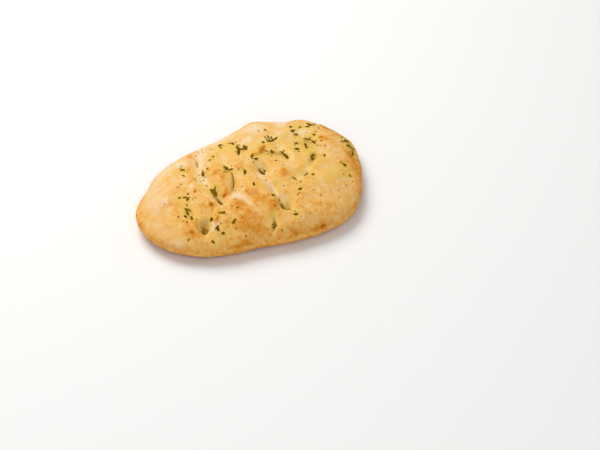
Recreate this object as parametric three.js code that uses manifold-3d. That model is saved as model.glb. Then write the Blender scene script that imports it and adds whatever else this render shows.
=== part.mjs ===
// Naan bread: a hand-stretched oval flatbread, poked with the fingertips before
// baking, with chopped parsley baked on to its crust. Millimetres, +Z up. The
// bread lies on its flat underside, with its long axis along X.
//
// The bread is one baked piece, so it is one mesh. Each piece of parsley is a
// mesh of its own, lying on the crust with a small clearance.
import * as THREE from "three";
import { mergeVertices } from "three/addons/utils/BufferGeometryUtils.js";
import Module from "manifold-3d";

const wasm = await Module();
wasm.setup();

// ---------------------------------------------------------------- bread sizes
const CROWN_HEIGHT = 31; // the top of the plain dome, before mounds and dimples
const RIM_HEIGHT = 11.5; // where the rim is widest
const SHOULDER = 2.8; // how flat the dome is in the middle
const ROUNDNESS = 0.55; // how full its shoulder is
const FLAT_SHARE = 0.8; // the share of the outline that rests on the table
const SPOKES = 120;
const TOP_RINGS = 30;
const RING_CROWDING = 1.3; // above 1 the rings crowd towards the rim
const EDGE_RINGS = 4;
const BASE_RINGS = 3;

// The rim seen from above, anticlockwise from +X.
const RIM = [
  [107.5, 3], [103.5, 30], [95, 47], [87, 58], [73.5, 62.5], [60, 71], [46, 79.5], [21, 76],
  [-2, 73.5], [-22, 72.8], [-44, 70], [-66, 62.5], [-86, 47.5], [-107, 27], [-111, 0],
  [-101, -26.5], [-81, -45.5], [-57, -56.5], [-36, -61.5], [-16, -68.5], [6, -74],
  [28, -76.5], [50, -74.5], [70, -62], [85, -44], [98.5, -22],
];

// Mounds between the dimples: [x, y, rise, half length, half width, turn in degrees].
const MOUNDS = [
  [-31, 9, 3, 17, 10, 75], // the blister in the middle of the left half
  [-35, -40, 4, 21, 12, 96], // the browned mound in front of it
  [-9, -38, 3, 19, 9, 100],
  [8, -65, 3, 17, 8, 4],
  [-53, -12, 1.8, 12, 8, 100],
  [-56, -34, 2, 12, 6, 30],
  [-82, -24, 1.5, 18, 10, 115],
  [-44, 52, 2, 20, 10, 50],
  [20, 26, 1.6, 15, 10, 30],
  [20, -12, 1.8, 13, 9, 75],
  [-8, -12, 1.6, 11, 8, 60],
  [-7, 18, 1, 14, 9, 80],
  [24, 58, 0.9, 26, 12, 5],
  [86, 40, 1.4, 11, 8, -40],
  [66, 44, 0.5, 18, 14, -20],
  [52, -34, 1.4, 30, 20, 20],
  [-90, 14, 1, 22, 20, 80],
  [88, 10, 1, 14, 24, 0],
];

// Finger dimples: [x, y, depth, half length, half width, turn in degrees].
const DIMPLES = [
  [-67.5, -27, 8.5, 9.5, 5, 66],
  [-67, -8, 2.5, 13, 8, 82],
  [-41, -5, 6, 11, 5.5, 84],
  [-40, 17, 2.5, 15, 6, 82],
  [8.5, 4, 3.5, 8, 5, 80],
  [4.5, -41, 6, 9, 6.5, 75],
  [-14.5, -53, 3.6, 10, 5, 55],
  [36, 8, 1.8, 13, 6, 80],
  [69, 2, 1.2, 12, 8, 80],
  [69, 32, 1.2, 9, 7, 20],
  [33, -22, 1.4, 8, 5, 0],
  [-13, 72, 3, 12, 8, 80],
];

// Troughs that join the dimples: [depth, half width, [x, y], ...].
const TROUGHS = [
  [1.6, 5.5, [-20, 70], [-30, 50], [-37, 32], [-41, 10]],
  [1.6, 5, [-19, 24], [-19, 6], [-26, -8], [-40, -13]],
  [1.6, 6, [8, 2], [6, -20], [5, -40]],
  [1.8, 5, [-28, -12], [-22, -30], [-17, -50]],
];

// -------------------------------------------------------------- parsley sizes
const CLEARANCE = 0.35; // between a leaf and the crust
const LEAF_THICKNESS = 0.6;
const LOBE_STATIONS = 5;
const STRIP_STATIONS = 7;

// Leaves that kept their lobes. Each shape is a few slivers that overlap, and each
// sliver is [x, y, length, width, turn, bend], measured from the leaf's middle.
const SHAPES = {
  sprig: [
    [-3.8, -2.7, 11.6, 3, 56, 10], [-0.3, 4.2, 10, 2.8, 75, 0], [2.2, -0.5, 8.5, 2.8, -28, 20],
    [5.7, -0.7, 10.3, 3, 72, -30],
  ],
  hand: [
    [-1.3, -2.2, 8.8, 3.2, -12, 60], [3.9, -2.6, 7.6, 2.6, 28, 0], [-3.1, 3, 12, 2, 80, 0],
    [-0.8, 2.2, 12, 1.8, 74, 0], [1.4, 0.2, 9, 1.9, 70, 0],
  ],
  tuft: [[-2.3, -2.2, 7, 2.6, 10, 70], [0.6, 1, 8, 2.8, 75, 0], [1.8, -2, 6.5, 2.6, -58, 0]],
  fork: [[-1.4, -2.4, 10.6, 2, 80, 0], [1.4, 0.6, 7.6, 2.5, -54, 0]],
  bean: [[1.6, 1.8, 6.4, 2.4, 12, 0], [-1, -1.2, 6, 2.8, 75, 0]],
  clump: [[0, 0, 11, 3.6, 97, 0], [1.8, 1.4, 6, 2.6, 35, 0]],
  tee: [[0, 0.8, 6.5, 2.6, 12, 0], [-0.2, -1.6, 5, 2.6, 88, 0]],
  hook: [[0, 0, 10, 3, 92, 0], [2, -4.6, 5.5, 2.8, -20, 0]],
};

// Where they lie: [shape, x, y, size, turn].
const FRONDS = [
  ["sprig", 6.7, 36.2, 1, 0],
  ["hand", 37.7, 34.7, 1, 0],
  ["tuft", 81.5, 39.5, 1, 0],
  ["fork", -3.9, 54, 0.8, 0],
  ["fork", -72, -5, 1, 0],
  ["tuft", 100, 6, 0.9, -20],
  ["fork", 97.5, -3.5, 0.8, 60],
  ["tee", -61, -37.8, 1, 0],
  ["hook", -17.3, 21, 1, 0],
  ["bean", 55.5, -7, 1, 0],
  ["clump", -41.4, 2.2, 1, 0],
];

// Slivers of leaf and stem: [x, y, length, width, turn in degrees, bend in degrees].
const STRIPS = [
  [34.5, 9, 16, 4, 92, 50],
  [-50, 42, 6.5, 3.2, -30, 0],
  [59, 9.5, 10, 3, 72, 10],
  [66, 18, 7.5, 2.4, 140, 20],
  [-37, 28, 7.5, 2.4, 62, 0],
  [6, 49.5, 8, 1.9, 98, 10],
  [-8, 6.5, 8.5, 2.8, 55, 50],
  [8, 3, 10, 2.8, 98, 25],
  [-73, -14.5, 4.5, 2, 80, 0],
  [-50.5, -27, 7.5, 3.4, 145, 0],
  [-46, -39.5, 6.5, 2.8, 20, 25],
  [2, -41.5, 7, 2.6, 75, 0],
  [1.5, -48.5, 6, 2.6, 5, 20],
  [-2, -32.5, 6, 2, 25, 0],
  [-9.5, -13, 6.5, 3.2, 60, 0],
  [95, -12, 11, 2.4, 55, 30],
  [90, 40.5, 9, 2, 55, 0],
];

// Chopped flecks: [x, y, length, width, turn in degrees].
const FLECKS = [
  [-53, 34.5, 5, 3.2, 105], [-18, 41.8, 4, 2.2, 60], [28.5, 32.5, 3.6, 2.8, 60],
  [41.6, 49.8, 4, 2, 60], [62, 35.5, 5.6, 3.8, 35], [61.5, 29, 4.4, 3, 160],
  [71.5, 38.5, 4, 3.4, 30], [76, 21.5, 4.4, 3.2, 50], [69.5, 12, 5, 3.2, 120],
  [50, 9.5, 5, 3, 150], [9.5, 21, 4.6, 3, 50], [11, 16, 4.2, 3.2, 150],
  [28, 17, 6, 3.6, 60], [-77, -10.5, 4.4, 2.8, 100], [-70.5, 11, 3.8, 2.8, 80],
  [-65.5, 6, 5, 3, 55], [-43, -14, 5, 3, 65], [-60, -26, 3.8, 2.4, 80],
  [-59.5, -44, 4, 2.6, 140], [-69.7, -45, 4.2, 2.4, 120], [4.5, -59, 4.4, 2.8, 160],
  [26, -24, 5.4, 3.2, 120], [38, -23.5, 5.6, 3, 8], [42.5, -28, 4, 2.8, 10],
  [22.5, -37.5, 5.4, 2.8, 10], [67, -9.5, 4, 2.8, 70], [77.5, -26.5, 5.4, 3.6, 80],
  [74.5, -39, 4.4, 3.4, 80], [64.5, 42.5, 5.5, 3.6, 60], [-16, -57.5, 5.6, 1.4, 165],
  [54, 17, 4.2, 3, 40],
];

// ------------------------------------------------------------------ materials
const crust = new THREE.MeshStandardMaterial({ color: 0xe3b565, roughness: 0.75, metalness: 0 });
const parsley = new THREE.MeshStandardMaterial({ color: 0x4a4a16, roughness: 0.7, metalness: 0 });

// --------------------------------------------------------------------- relief
const radians = THREE.MathUtils.degToRad;

// 1 at the middle of an oval, falling smoothly to 0 outside it.
function ovalWeight(x, y, [centreX, centreY, , halfLength, halfWidth, turn]) {
  const angle = radians(turn);
  const dx = x - centreX;
  const dy = y - centreY;
  const along = (dx * Math.cos(angle) + dy * Math.sin(angle)) / halfLength;
  const across = (dy * Math.cos(angle) - dx * Math.sin(angle)) / halfWidth;
  return Math.exp(-((along * along + across * across) ** 1.25));
}

function distanceToPath(x, y, path) {
  const point = new THREE.Vector3(x, y, 0);
  const nearest = new THREE.Vector3();
  let distance = Infinity;
  for (let i = 1; i < path.length; i++) {
    const from = new THREE.Vector3(...path[i - 1], 0);
    const to = new THREE.Vector3(...path[i], 0);
    new THREE.Line3(from, to).closestPointToPoint(point, true, nearest);
    distance = Math.min(distance, nearest.distanceTo(point));
  }
  return distance;
}

// How far the crust stands above the plain dome at (x, y).
function relief(x, y) {
  let height = 0;
  for (const mound of MOUNDS) height += mound[2] * ovalWeight(x, y, mound);
  for (const dimple of DIMPLES) height -= dimple[2] * ovalWeight(x, y, dimple);
  for (const [depth, halfWidth, ...path] of TROUGHS) {
    height -= depth * Math.exp(-((distanceToPath(x, y, path) / halfWidth) ** 2));
  }
  return height;
}

// ---------------------------------------------------------------------- bread
// The section from the middle of the crown out to the rim and in under the
// bread: pairs of [share of the rim's radius, height of the plain surface].
function section() {
  const rings = [];
  for (let i = 1; i <= TOP_RINGS; i++) {
    const share = 1 - (1 - i / TOP_RINGS) ** RING_CROWDING;
    const dome = Math.max(0, 1 - share ** SHOULDER) ** ROUNDNESS;
    rings.push([share, RIM_HEIGHT + (CROWN_HEIGHT - RIM_HEIGHT) * dome]);
  }
  for (let i = 1; i <= EDGE_RINGS; i++) {
    const angle = ((i / EDGE_RINGS) * Math.PI) / 2;
    const share = FLAT_SHARE + (1 - FLAT_SHARE) * Math.cos(angle);
    rings.push([share, RIM_HEIGHT * (1 - Math.sin(angle))]);
  }
  for (let i = 1; i < BASE_RINGS; i++) {
    rings.push([FLAT_SHARE * (1 - i / BASE_RINGS), 0]);
  }
  return rings;
}

function breadGeometry() {
  const curve = new THREE.CatmullRomCurve3(
    RIM.map(([x, y]) => new THREE.Vector3(x, y, 0)), true, "centripetal",
  );
  const rim = curve.getSpacedPoints(SPOKES).slice(0, SPOKES);
  const rings = section();
  const positions = [0, 0, CROWN_HEIGHT + relief(0, 0)];
  rings.forEach(([share, height], ring) => {
    for (const { x, y } of rim) {
      // relief dies away down the side, and the underside has none
      const lift = ring < TOP_RINGS ? relief(share * x, share * y) * (1 - share ** 6) : 0;
      positions.push(share * x, share * y, height + lift);
    }
  });
  const bottom = positions.length / 3;
  positions.push(0, 0, 0);

  const faces = [];
  const at = (ring, spoke) => 1 + ring * SPOKES + (spoke % SPOKES);
  const last = rings.length - 1;
  for (let spoke = 0; spoke < SPOKES; spoke++) {
    faces.push(0, at(0, spoke), at(0, spoke + 1));
    for (let ring = 1; ring < rings.length; ring++) {
      const corners = [at(ring - 1, spoke), at(ring, spoke), at(ring, spoke + 1), at(ring - 1, spoke + 1)];
      faces.push(corners[0], corners[1], corners[2], corners[0], corners[2], corners[3]);
    }
    faces.push(at(last, spoke), bottom, at(last, spoke + 1));
  }
  const geometry = new THREE.BufferGeometry();
  geometry.setAttribute("position", new THREE.Float32BufferAttribute(positions, 3));
  geometry.setIndex(faces);
  geometry.computeVertexNormals();
  return geometry;
}

const bread = new THREE.Mesh(breadGeometry(), crust);
bread.name = "naan";

// -------------------------------------------------------------------- parsley
const ray = new THREE.Raycaster();

// The height of the crust at (x, y), found on the mesh itself.
function crustHeight(x, y) {
  ray.set(new THREE.Vector3(x, y, 100), new THREE.Vector3(0, 0, -1));
  const hits = ray.intersectObject(bread);
  return hits.length ? hits[0].point.z : 0;
}

// A sliver of leaf laid on the crust: pointed at both ends and widest a little
// before the middle, with its centre line bent through an angle.
function sliver(x, y, length, width, turn, bend, stations) {
  const rows = [];
  const step = length / (stations - 1);
  let heading = radians(turn - bend / 2);
  const place = new THREE.Vector2(
    x - (length / 2) * Math.cos(radians(turn)), y - (length / 2) * Math.sin(radians(turn)),
  );
  for (let i = 0; i < stations; i++) {
    const share = i / (stations - 1);
    const ragged = 1 + 0.18 * Math.sin(7 * i + x + 2 * y);
    const half = (width / 2) * Math.sqrt(Math.sin(Math.PI * share ** 0.8)) * ragged;
    rows.push({ x: place.x, y: place.y, half, heading });
    place.x += step * Math.cos(heading);
    place.y += step * Math.sin(heading);
    heading += radians(bend) / (stations - 1);
  }

  const positions = [];
  const push = (px, py, above) => positions.push(px, py, crustHeight(px, py) + CLEARANCE + above);
  const first = rows[0];
  const last = rows[rows.length - 1];
  push(first.x, first.y, LEAF_THICKNESS / 2);
  for (const row of rows.slice(1, -1)) {
    const sideX = -Math.sin(row.heading) * row.half;
    const sideY = Math.cos(row.heading) * row.half;
    push(row.x + sideX, row.y + sideY, LEAF_THICKNESS / 2);
    push(row.x, row.y, 0);
    push(row.x - sideX, row.y - sideY, LEAF_THICKNESS / 2);
    push(row.x, row.y, LEAF_THICKNESS);
  }
  push(last.x, last.y, LEAF_THICKNESS / 2);

  const faces = [];
  const inner = rows.length - 2;
  const tip = 1 + 4 * inner;
  for (let side = 0; side < 4; side++) {
    const next = (side + 1) % 4;
    faces.push(0, 1 + side, 1 + next);
    for (let row = 1; row < inner; row++) {
      const low = 1 + 4 * (row - 1);
      const high = low + 4;
      faces.push(low + side, high + next, low + next, low + side, high + side, high + next);
    }
    faces.push(tip, tip - 4 + next, tip - 4 + side);
  }
  const geometry = new THREE.BufferGeometry();
  geometry.setAttribute("position", new THREE.Float32BufferAttribute(positions, 3));
  geometry.setIndex(faces);
  return geometry;
}

function toManifold(geometry) {
  const merged = mergeVertices(geometry, 1e-4);
  return new wasm.Manifold(new wasm.Mesh({
    numProp: 3,
    vertProperties: new Float32Array(merged.attributes.position.array),
    triVerts: new Uint32Array(merged.index.array),
  }));
}

function fromManifold(solid) {
  const { vertProperties, triVerts } = solid.getMesh();
  const geometry = new THREE.BufferGeometry();
  geometry.setAttribute("position", new THREE.BufferAttribute(vertProperties, 3));
  geometry.setIndex(new THREE.BufferAttribute(triVerts, 1));
  return geometry;
}

// A leaf with lobes: the slivers of its shape, made one solid.
function frond(shape, x, y, size, turn) {
  const cos = size * Math.cos(radians(turn));
  const sin = size * Math.sin(radians(turn));
  const lobes = SHAPES[shape].map(([lobeX, lobeY, length, width, lobeTurn, bend]) => sliver(
    x + cos * lobeX - sin * lobeY, y + sin * lobeX + cos * lobeY,
    size * length, size * width, turn + lobeTurn, bend, LOBE_STATIONS,
  ));
  return fromManifold(wasm.Manifold.union(lobes.map(toManifold)));
}

// ------------------------------------------------------------------- assembly
const group = new THREE.Group();
group.add(bread);

function addLeaves(rows, name, shape) {
  rows.forEach((row, i) => {
    const leaf = new THREE.Mesh(shape(row), parsley);
    leaf.name = `${name}_${String(i + 1).padStart(2, "0")}`;
    group.add(leaf);
  });
}

addLeaves(FRONDS, "parsley_frond", (row) => frond(...row));
addLeaves(STRIPS, "parsley_strip", ([x, y, length, width, turn, bend]) =>
  sliver(x, y, length, width, turn, bend, STRIP_STATIONS));
addLeaves(FLECKS, "parsley_fleck", ([x, y, length, width, turn]) =>
  sliver(x, y, length, width, turn, 0, LOBE_STATIONS));

// The origin is under the middle of the bread, on the table.
const middle = new THREE.Box3().setFromObject(group).getCenter(new THREE.Vector3());
group.position.set(-middle.x, -middle.y, 0);

export default group;
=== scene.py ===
"""Looks of the naan bread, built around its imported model.

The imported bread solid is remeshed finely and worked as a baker's hands and the oven would: finger
dimples and creases first, then the undulation, blisters and grain of the crust. The chopped parsley is
made ragged and laid down on that crust, and a finer dust of the same herb is strewn between it.
Lengths in the sizes below are in millimetres, and every mesh is in metres.
"""
import logging
import math
from dataclasses import dataclass, field
from enum import Enum

import bmesh
import bpy
import numpy as np
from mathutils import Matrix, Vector
from mathutils.bvhtree import BVHTree


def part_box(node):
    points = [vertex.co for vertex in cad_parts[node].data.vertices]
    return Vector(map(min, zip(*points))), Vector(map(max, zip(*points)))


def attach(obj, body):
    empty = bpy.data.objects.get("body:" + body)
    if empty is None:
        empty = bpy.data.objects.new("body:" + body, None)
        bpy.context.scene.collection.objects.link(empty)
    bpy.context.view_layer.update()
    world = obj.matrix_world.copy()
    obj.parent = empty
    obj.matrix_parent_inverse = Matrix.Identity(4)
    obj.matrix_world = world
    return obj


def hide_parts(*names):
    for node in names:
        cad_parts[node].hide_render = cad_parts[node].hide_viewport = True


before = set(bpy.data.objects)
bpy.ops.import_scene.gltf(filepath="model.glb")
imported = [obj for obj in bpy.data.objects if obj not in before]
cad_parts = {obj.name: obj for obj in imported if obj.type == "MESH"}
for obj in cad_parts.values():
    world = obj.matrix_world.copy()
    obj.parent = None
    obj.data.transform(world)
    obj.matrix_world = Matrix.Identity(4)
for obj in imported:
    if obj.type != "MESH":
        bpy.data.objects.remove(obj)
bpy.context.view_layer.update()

MM = 0.001
BODY = "root"
BREAD_NODE = "naan"
LEAF_PREFIX = "parsley_"
log = logging.getLogger("naan")

Path = tuple[tuple[float, float], ...]


class Slot(Enum):
    """Names for the crust's and the parsley's material slots, which nothing here reads."""

    CRUST = "crust"
    PARSLEY = "parsley"


class Paint(Enum):
    """The attributes painted on the crust, each from 0 to 1."""

    BAKE = "bake"
    PALE = "pale"
    # herb butter, together with painted shade in the deep hollows and creases
    BUTTER_AND_SHADE = "butter"
    HERB = "herb"


# ---------------------------------------------------------------------------------------- mesh tools


def link(name: str, mesh: bpy.types.Mesh) -> bpy.types.Object:
    """Puts a mesh into the scene as an object at the origin.

    Args:
        name: The object's name.
        mesh: The mesh it shows.

    Returns:
        The new object.
    """
    piece = bpy.data.objects.new(name, mesh)
    bpy.context.scene.collection.objects.link(piece)
    return piece


def coordinates(mesh: bpy.types.Mesh) -> np.ndarray:
    """Reads a mesh's vertices.

    Args:
        mesh: The mesh.

    Returns:
        One row of x, y and z for each vertex, in metres.
    """
    flat = np.empty(len(mesh.vertices) * 3)
    mesh.vertices.foreach_get("co", flat)
    return flat.reshape(-1, 3)


def set_coordinates(mesh: bpy.types.Mesh, points: np.ndarray) -> None:
    """Moves a mesh's vertices to the given points, in metres."""
    mesh.vertices.foreach_set("co", points.astype(np.float32).ravel())
    mesh.update()


def vertex_normals(mesh: bpy.types.Mesh) -> np.ndarray:
    """Reads a mesh's vertex normals.

    Args:
        mesh: The mesh.

    Returns:
        One row of x, y and z for each vertex, of length 1.
    """
    flat = np.empty(len(mesh.vertices) * 3, np.float32)
    mesh.vertex_normals.foreach_get("vector", flat)
    return flat.reshape(-1, 3).astype(float)


def merged_copy(source: bpy.types.Object, name: str) -> bpy.types.Mesh:
    """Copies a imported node's mesh, with the vertices that its faces share joined.

    Args:
        source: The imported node.
        name: The new mesh's name.

    Returns:
        The closed copy, with no material.
    """
    work = bmesh.new()
    work.from_mesh(source.data)
    bmesh.ops.remove_doubles(work, verts=work.verts, dist=1e-6)
    bmesh.ops.recalc_face_normals(work, faces=work.faces)
    mesh = bpy.data.meshes.new(name)
    work.to_mesh(mesh)
    work.free()
    return mesh


def settle(piece: bpy.types.Object) -> None:
    """Turns an object's modifiers into its plain mesh, and removes them.

    Args:
        piece: The object. Its old mesh is deleted.
    """
    bpy.context.view_layer.update()
    graph = bpy.context.evaluated_depsgraph_get()
    mesh = bpy.data.meshes.new_from_object(piece.evaluated_get(graph), depsgraph=graph)
    old = piece.data
    piece.modifiers.clear()
    piece.data = mesh
    mesh.name = piece.name
    bpy.data.meshes.remove(old)


def shade_smooth(mesh: bpy.types.Mesh) -> None:
    """Makes every face of a mesh shade smoothly."""
    mesh.polygons.foreach_set("use_smooth", np.ones(len(mesh.polygons), bool))


def blurred(values: np.ndarray, mesh: bpy.types.Mesh, rounds: int) -> np.ndarray:
    """Blurs one value per vertex over a mesh.

    Args:
        values: The values, one for each vertex.
        mesh: The mesh whose edges carry the blur.
        rounds: How many times each value moves halfway to its neighbours' mean.

    Returns:
        The blurred values.
    """
    ends = np.empty(len(mesh.edges) * 2, np.int64)
    mesh.edges.foreach_get("vertices", ends)
    first, second = ends[0::2], ends[1::2]
    count = len(values)
    valence = np.bincount(first, minlength=count) + np.bincount(second, minlength=count)
    result = values.astype(float)
    for _ in range(rounds):
        total = np.bincount(first, result[second], count) + np.bincount(second, result[first], count)
        result = 0.5 * result + 0.5 * total / np.maximum(valence, 1)
    return result


def smoothstep(low: float, high: float, values: np.ndarray) -> np.ndarray:
    """Rises smoothly from 0 at low to 1 at high."""
    share = np.clip((values - low) / (high - low), 0, 1)
    return share * share * (3 - 2 * share)


@dataclass
class Grain:
    """Smooth random values on the plane, the same on each run.

    Attributes:
        seed: Picks the pattern.
        cell: The size of its features, in mm.
    """

    seed: int
    cell: float
    table: np.ndarray = field(init=False)

    SIDE = 64  # how many cells there are before the pattern repeats

    def __post_init__(self) -> None:
        """Draws the table of values at the corners of the cells."""
        self.table = np.random.default_rng(self.seed).uniform(-1, 1, (self.SIDE, self.SIDE))

    def at(self, xy: np.ndarray) -> np.ndarray:
        """Reads the pattern.

        Args:
            xy: Points on the plane, in mm.

        Returns:
            A value from -1 to 1 for each point.
        """
        place = xy / self.cell + self.SIDE / 2
        corner = np.floor(place).astype(int)
        share = place - corner
        share = share * share * (3 - 2 * share)
        i, j = corner[:, 0] % self.SIDE, corner[:, 1] % self.SIDE
        i2, j2 = (i + 1) % self.SIDE, (j + 1) % self.SIDE
        low = self.table[i, j] * (1 - share[:, 0]) + self.table[i2, j] * share[:, 0]
        high = self.table[i, j2] * (1 - share[:, 0]) + self.table[i2, j2] * share[:, 0]
        return low * (1 - share[:, 1]) + high * share[:, 1]


def ragged(xy: np.ndarray, reach: float, cell: float, seed: int) -> np.ndarray:
    """Shifts points about at random, so that a round patch read there has a ragged edge.

    Args:
        xy: Points on the plane, in mm.
        reach: How far a point may shift, in mm.
        cell: The size of the raggedness, in mm.
        seed: Picks the pattern.

    Returns:
        The shifted points.
    """
    return xy + reach * np.stack([Grain(seed, cell).at(xy), Grain(seed + 1, cell).at(xy)], axis=1)


# ------------------------------------------------------------------------------- features of the crust


@dataclass(frozen=True)
class Oval:
    """A soft-edged oval patch on the crust, seen from above.

    Attributes:
        x: Its middle, in mm.
        y: Its middle, in mm.
        amount: How much it adds in its middle: mm of height, or a share of paint.
        half_length: Half its length, in mm.
        half_width: Half its width, in mm.
        turn: The direction of its length, in degrees from +X.
        sharpness: How steep its edge is: 1 is a soft hill, 3 has a flat middle and a steep edge.
    """

    x: float
    y: float
    amount: float
    half_length: float
    half_width: float
    turn: float = 0.0
    sharpness: float = 1.25

    def on(self, xy: np.ndarray) -> np.ndarray:
        """What the patch adds at each point.

        Args:
            xy: Points on the plane, in mm.

        Returns:
            For each point, mm of height or a share of paint.
        """
        angle = math.radians(self.turn)
        offset = xy - (self.x, self.y)
        along = (offset @ (math.cos(angle), math.sin(angle))) / self.half_length
        across = (offset @ (-math.sin(angle), math.cos(angle))) / self.half_width
        return self.amount * np.exp(-((along**2 + across**2) ** self.sharpness))


@dataclass(frozen=True)
class Stroke:
    """A curved line on the crust, seen from above.

    Attributes:
        path: Points of the line, in mm.
        amount: How much it adds along its middle: mm of height, or a share of paint.
        width: Half its width, in mm.
    """

    path: Path
    amount: float
    width: float

    STEPS = 12  # how many points the curve has for each point of the path

    def line(self) -> np.ndarray:
        """The line as a smooth curve through its points.

        Returns:
            The many points of the curve, in mm.
        """
        points = np.array([self.path[0], *self.path, self.path[-1]], float)
        points[0] += points[1] - points[2]
        points[-1] += points[-2] - points[-3]
        run = []
        for a, b, c, d in zip(points, points[1:], points[2:], points[3:]):
            for t in np.linspace(0, 1, self.STEPS, endpoint=False):
                run.append(0.5 * (2 * b + (c - a) * t + (2 * a - 5 * b + 4 * c - d) * t**2
                                  + (3 * b - a - 3 * c + d) * t**3))
        return np.array([*run, points[-2]])

    def measure(self, xy: np.ndarray) -> tuple[np.ndarray, np.ndarray]:
        """Where points lie against the line.

        Args:
            xy: Points on the plane, in mm.

        Returns:
            The distance from the line, and the share of its length.
        """
        line = self.line()
        nearest = np.full(len(xy), np.inf)
        share = np.zeros(len(xy))
        for i, (start, end) in enumerate(zip(line, line[1:])):
            step = end - start
            offset = xy - start
            t = np.clip(offset @ step / (step @ step), 0, 1)
            gap = offset - t[:, None] * step
            distance = np.hypot(gap[:, 0], gap[:, 1])
            closer = distance < nearest
            nearest[closer] = distance[closer]
            share[closer] = (i + t[closer]) / (len(line) - 1)
        return nearest, share

    def on(self, xy: np.ndarray) -> np.ndarray:
        """What the line adds at each point: it fades at its ends.

        Args:
            xy: Points on the plane, in mm.

        Returns:
            For each point, mm of height or a share of paint.
        """
        result = np.zeros(len(xy))
        low = np.min(self.path, axis=0) - 4 * self.width
        high = np.max(self.path, axis=0) + 4 * self.width
        near = np.all((xy > low) & (xy < high), axis=1)
        distance, share = self.measure(xy[near])
        fade = np.clip(np.sin(math.pi * np.clip(share, 0.03, 0.97)), 0, 1) ** 0.6
        result[near] = self.amount * fade * np.exp(-((distance / self.width) ** 2))
        return result


# --------------------------------------------------------------------------------------------- finishes


@dataclass
class Nodes:
    """A short way to build a node tree: it adds nodes and joins their sockets.

    Attributes:
        tree: The tree that it builds in.
    """

    tree: bpy.types.NodeTree

    def add(self, kind: str, settings: dict[str, object] | None = None, **inputs: object) -> bpy.types.Node:
        """Adds a node.

        Args:
            kind: Its type.
            settings: The properties to set on it.
            inputs: Its inputs by name, with _ for a space: a value, or a socket to join.

        Returns:
            The new node.
        """
        node = self.tree.nodes.new(kind)
        for name, value in (settings or {}).items():
            setattr(node, name, value)
        for name, value in inputs.items():
            self.feed(node.inputs[name.replace("_", " ")], value)
        return node

    def feed(self, socket: bpy.types.NodeSocket, value: object) -> None:
        """Feeds one input.

        Args:
            socket: The input.
            value: A socket to join to it, or the value to set.
        """
        if isinstance(value, bpy.types.NodeSocket):
            self.tree.links.new(value, socket)
        else:
            socket.default_value = value

    def math(self, operation: str, *values: object) -> bpy.types.NodeSocket:
        """Adds a math node.

        Args:
            operation: What it works out.
            values: Its one to three inputs, each a value or a socket.

        Returns:
            Its result.
        """
        node = self.add("ShaderNodeMath", {"operation": operation})
        for socket, value in zip(node.inputs, values):
            self.feed(socket, value)
        return node.outputs[0]

    def ramp(self, value: object, low: float, high: float, bottom: float = 0.0,
             top: float = 1.0) -> bpy.types.NodeSocket:
        """Adds a smooth rise.

        Args:
            value: What it reads.
            low: Where the rise starts.
            high: Where it ends.
            bottom: The result at low.
            top: The result at high.

        Returns:
            Its result.
        """
        node = self.add("ShaderNodeMapRange", {"interpolation_type": "SMOOTHSTEP"})
        for socket, given in zip(node.inputs, (value, low, high, bottom, top)):
            self.feed(socket, given)
        return node.outputs[0]

    def mix(self, share: object, first: object, second: object, blend: str = "MIX") -> bpy.types.NodeSocket:
        """Adds a mix of two colours.

        Args:
            share: How much of the second there is.
            first: The first colour.
            second: The second colour.
            blend: How they are mixed.

        Returns:
            The mixed colour.
        """
        node = self.add("ShaderNodeMix", {"data_type": "RGBA", "blend_type": blend})
        for socket, value in zip((node.inputs[0], node.inputs[6], node.inputs[7]), (share, first, second)):
            self.feed(socket, value)
        return node.outputs[2]

    def noise(self, where: bpy.types.NodeSocket, scale: float, detail: float = 2.0,
              roughness: float = 0.5, distortion: float = 0.0) -> bpy.types.NodeSocket:
        """Adds a noise pattern.

        Args:
            where: The place at which it is read.
            scale: How many of its features there are in a metre.
            detail: How many finer layers it has.
            roughness: How strong those layers are.
            distortion: How much the pattern swirls.

        Returns:
            Its value, from 0 to 1.
        """
        return self.add("ShaderNodeTexNoise", Vector=where, Scale=scale, Detail=detail, Roughness=roughness,
                        Distortion=distortion).outputs[0]


def colour(red: float, green: float, blue: float) -> tuple[float, float, float, float]:
    """A linear colour from its three parts."""
    return (red, green, blue, 1.0)


class Effects:
    """Node groups that more than one finish uses."""

    GRAIN = "baked_grain"

    @staticmethod
    def grain() -> bpy.types.ShaderNodeTree:
        """The fine grain of a baked or dried surface.

        Returns:
            A group that takes a place, the size of the grain and how coarse it is, and gives the height
            of the grain and a mask of the darker flecks in it.
        """
        existing = bpy.data.node_groups.get(Effects.GRAIN)
        if existing:
            return existing
        tree = bpy.data.node_groups.new(Effects.GRAIN, "ShaderNodeTree")
        face = tree.interface
        face.new_socket("Place", in_out="INPUT", socket_type="NodeSocketVector")
        face.new_socket("Frequency", in_out="INPUT", socket_type="NodeSocketFloat").default_value = 1500.0
        face.new_socket("Coarseness", in_out="INPUT", socket_type="NodeSocketFloat").default_value = 0.6
        face.new_socket("Height", in_out="OUTPUT", socket_type="NodeSocketFloat")
        face.new_socket("Flecks", in_out="OUTPUT", socket_type="NodeSocketFloat")
        nodes = Nodes(tree)
        given = nodes.add("NodeGroupInput").outputs
        result = nodes.add("NodeGroupOutput")
        grain = nodes.add("ShaderNodeTexNoise", Vector=given["Place"], Scale=given["Frequency"], Detail=4.0,
                          Roughness=given["Coarseness"]).outputs[0]
        wide = nodes.math("MULTIPLY", given["Frequency"], 0.3)
        lumps = nodes.add("ShaderNodeTexNoise", Vector=given["Place"], Scale=wide, Detail=2.0).outputs[0]
        nodes.feed(result.inputs["Height"], nodes.math("MULTIPLY_ADD", lumps, 0.8, grain))
        nodes.feed(result.inputs["Flecks"], nodes.ramp(grain, 0.56, 0.72))
        return tree


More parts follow.
